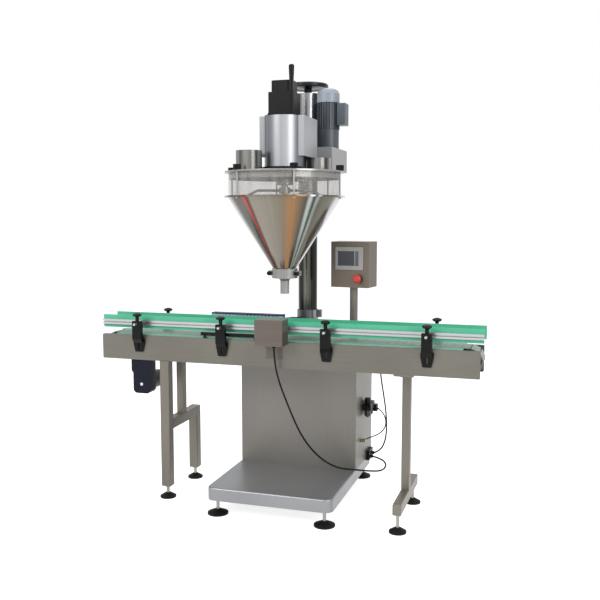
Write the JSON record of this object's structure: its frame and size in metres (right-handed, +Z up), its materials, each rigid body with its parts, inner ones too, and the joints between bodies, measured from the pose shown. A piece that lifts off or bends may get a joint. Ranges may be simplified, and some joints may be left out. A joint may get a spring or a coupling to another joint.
{
  "type": "auger powder filler",
  "caption": "Auger powder filler: conical hopper with agitator and metering auger on a hand-lifted column, over a slat conveyor with guide rails and a swivelling touch panel.",
  "frame": {"origin": "on the floor, at the middle of the whole machine's footprint box", "axes": "+Z up, +X along the conveyor towards its right-hand end, -Y towards the operator; the filling axis is the vertical at X = 0, Y = -0.145"},
  "size_m": [1.914, 0.8648, 2.196],
  "materials": {
    "brushed_stainless": "fine vertical brushing",
    "polished_stainless": "mirror polish",
    "black_moulding": "fine texture",
    "black_rubber": "matt",
    "green_guide": "smooth low-friction plastic",
    "chain_grey": "moulded acetal",
    "navy_paint": "satin enamel",
    "blue_grey_paint": "hammered enamel",
    "light_grey_case": "satin",
    "clear_ring": "clear acrylic",
    "black_anodised": "black anodised",
    "red_button": "gloss",
    "panel_plastic": "fine texture",
    "duct_plastic": "smooth",
    "hose_black": "satin",
    "zinc_steel": "turned"
  },
  "bodies": {
    "root": {"base_platform": "brushed_stainless", "cabinet_shell": "brushed_stainless", "cabinet_rear_panel": "brushed_stainless", "levelling_pads": "black_rubber", "levelling_studs": "zinc_steel", "conveyor_side_plates": "brushed_stainless", "conveyor_cross_members": "zinc_steel", "wear_strips": "green_guide", "slat_chain": "chain_grey", "drive_shaft": "zinc_steel", "idler_shaft": "zinc_steel", "shaft_bearings": "black_moulding", "rail_brackets": "black_moulding", "stop_bar": "black_moulding", "sensor_box": "brushed_stainless", "wiring_duct": "duct_plastic", "gear_motor": "navy_paint", "leg_frames": "brushed_stainless", "leg_brackets": "brushed_stainless", "column_tube": "brushed_stainless", "column_collar": "brushed_stainless", "control_post": "brushed_stainless", "air_filter": "black_moulding", "air_filter_bowls": "black_moulding", "hose_glands": "black_moulding", "signal_hose": "hose_black", "power_hose": "hose_black", "air_hose": "hose_black", "wiring_conduit": "hose_black"},
    "head": {"column_sleeve": "polished_stainless", "arm_box": "light_grey_case", "drive_housing": "light_grey_case", "drive_barrel": "polished_stainless", "servo_motor": "black_anodised", "agitator_motor": "blue_grey_paint", "hopper_lid": "brushed_stainless", "hopper_window": "clear_ring", "hopper_cone": "polished_stainless", "tie_rods": "zinc_steel", "lid_knobs": "black_moulding", "neck_clamp": "brushed_stainless", "nozzle": "polished_stainless"},
    "handwheel": {"handwheel": "black_moulding"},
    "handwheel_grip": {"handwheel_grip": "black_moulding"},
    "auger": {"auger": "polished_stainless"},
    "agitator": {"agitator": "polished_stainless"},
    "front_rail": {"front_rail": "brushed_stainless", "front_rail_strip": "green_guide"},
    "rear_rail": {"rear_rail": "brushed_stainless", "rear_rail_strip": "green_guide"},
    "control_box": {"control_box": "brushed_stainless", "touch_panel": "panel_plastic"},
    "estop_button": {"estop_button": "red_button"},
    "air_knob": {"air_knob": "black_moulding"},
    "rail_knob_1": {"rail_knob_1": "black_moulding"},
    "rail_knob_2": {"rail_knob_2": "black_moulding"},
    "rail_knob_3": {"rail_knob_3": "black_moulding"},
    "rail_knob_4": {"rail_knob_4": "black_moulding"},
    "rail_knob_5": {"rail_knob_5": "black_moulding"},
    "rail_knob_6": {"rail_knob_6": "black_moulding"}
  },
  "joints": [
    {"name": "head_lift", "type": "slide", "parent": "root", "child": "head", "axis": [0, 0, 1], "range_m": [-0.1, 0.15]},
    {"name": "handwheel_turn", "type": "hinge", "parent": "head", "child": "handwheel", "pos_m": [0, 0.241, 2.08], "axis": [0, 0, 1], "range_deg": [-3610, 5410]},
    {"name": "grip_spin", "type": "hinge", "parent": "handwheel", "child": "handwheel_grip", "pos_m": [-0.071, 0.182, 2.12], "axis": [0, 0, 1], "continuous": true},
    {"name": "auger_spin", "type": "hinge", "parent": "head", "child": "auger", "pos_m": [0, -0.145, 1.2], "axis": [0, 0, 1], "continuous": true},
    {"name": "agitator_spin", "type": "hinge", "parent": "head", "child": "agitator", "pos_m": [0, -0.145, 1.55], "axis": [0, 0, 1], "continuous": true},
    {"name": "front_rail_slide", "type": "slide", "parent": "root", "child": "front_rail", "axis": [0, 1, 0], "range_m": [-0.02, 0.03]},
    {"name": "rear_rail_slide", "type": "slide", "parent": "root", "child": "rear_rail", "axis": [0, -1, 0], "range_m": [-0.02, 0.03]},
    {"name": "control_box_swivel", "type": "hinge", "parent": "root", "child": "control_box", "pos_m": [0.289, 0.082, 1.08], "axis": [0, 0, 1], "range_deg": [-52, 68]},
    {"name": "estop_press", "type": "slide", "parent": "control_box", "child": "estop_button", "axis": [0.1392, 0.9903, 0], "range_m": [0, 0.005], "stiffness_N_per_m": 900},
    {"name": "air_knob_turn", "type": "hinge", "parent": "root", "child": "air_knob", "pos_m": [0.335, 0.218, 0.46], "axis": [0, 0, 1], "continuous": true},
    {"name": "rail_knob_1_turn", "type": "hinge", "parent": "root", "child": "rail_knob_1", "pos_m": [-0.735, -0.271, 0.92], "axis": [0, 0, 1], "continuous": true},
    {"name": "rail_knob_2_turn", "type": "hinge", "parent": "root", "child": "rail_knob_2", "pos_m": [-0.285, -0.271, 0.92], "axis": [0, 0, 1], "continuous": true},
    {"name": "rail_knob_3_turn", "type": "hinge", "parent": "root", "child": "rail_knob_3", "pos_m": [0.24, -0.271, 0.92], "axis": [0, 0, 1], "continuous": true},
    {"name": "rail_knob_4_turn", "type": "hinge", "parent": "root", "child": "rail_knob_4", "pos_m": [0.71, -0.271, 0.92], "axis": [0, 0, 1], "continuous": true},
    {"name": "rail_knob_5_turn", "type": "hinge", "parent": "root", "child": "rail_knob_5", "pos_m": [-0.69, -0.019, 0.92], "axis": [0, 0, 1], "continuous": true},
    {"name": "rail_knob_6_turn", "type": "hinge", "parent": "root", "child": "rail_knob_6", "pos_m": [0.72, -0.019, 0.92], "axis": [0, 0, 1], "continuous": true}
  ],
  "couplings": [
    {"joint": "handwheel_turn", "follows": "head_lift", "rad_per_m": 628.32}
  ]
}
